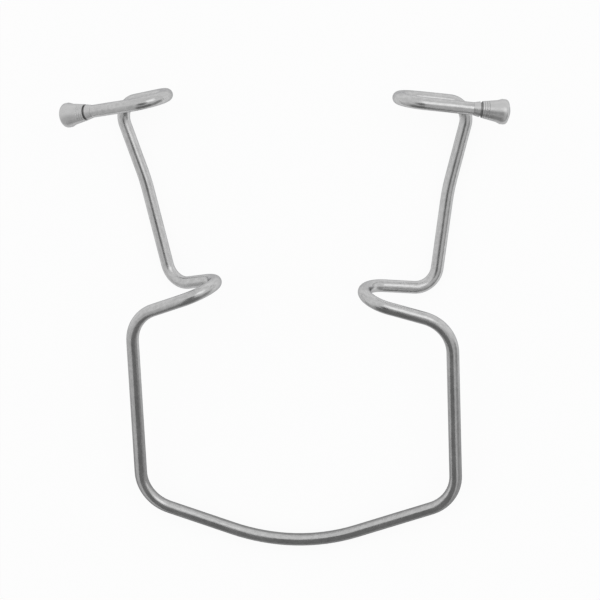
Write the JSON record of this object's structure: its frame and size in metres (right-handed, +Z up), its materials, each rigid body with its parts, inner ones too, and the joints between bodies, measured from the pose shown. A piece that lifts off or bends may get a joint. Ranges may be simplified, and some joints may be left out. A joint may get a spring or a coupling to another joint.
{
  "type": "self retaining mouth retractor",
  "caption": "Self retaining cheek and lip retractor bent from one stainless spring wire, with hairpin lip hooks, a chin bow and turned finger knobs.",
  "frame": {"origin": "on the surface that it lies on, under the middle of its box", "axes": "+X to the right arm, +Y from the bow up to the knobs, +Z up from the surface to the lip hooks"},
  "size_m": [0.1357, 0.142, 0.0239],
  "materials": {
    "polished_wire": "polished drawn stainless spring wire",
    "turned_steel": "satin turned stainless steel"
  },
  "bodies": {
    "bow": {"spring_bow": "polished_wire"},
    "left_arm": {"left_arm_wire": "polished_wire", "left_knob": "turned_steel"},
    "right_arm": {"right_arm_wire": "polished_wire", "right_knob": "turned_steel"}
  },
  "joints": [
    {"name": "left_arm_flex", "type": "hinge", "parent": "bow", "child": "left_arm", "pos_m": [-0.02318, -0.0651, 0.00278], "axis": [0, 0, -1], "range_deg": [-3, 8], "stiffness_Nm_per_rad": 20, "deforming": ["spring_bow"]},
    {"name": "right_arm_flex", "type": "hinge", "parent": "bow", "child": "right_arm", "pos_m": [0.02007, -0.06498, 0.0028], "axis": [0, 0, 1], "range_deg": [-3, 8], "stiffness_Nm_per_rad": 20, "deforming": ["spring_bow"]}
  ]
}
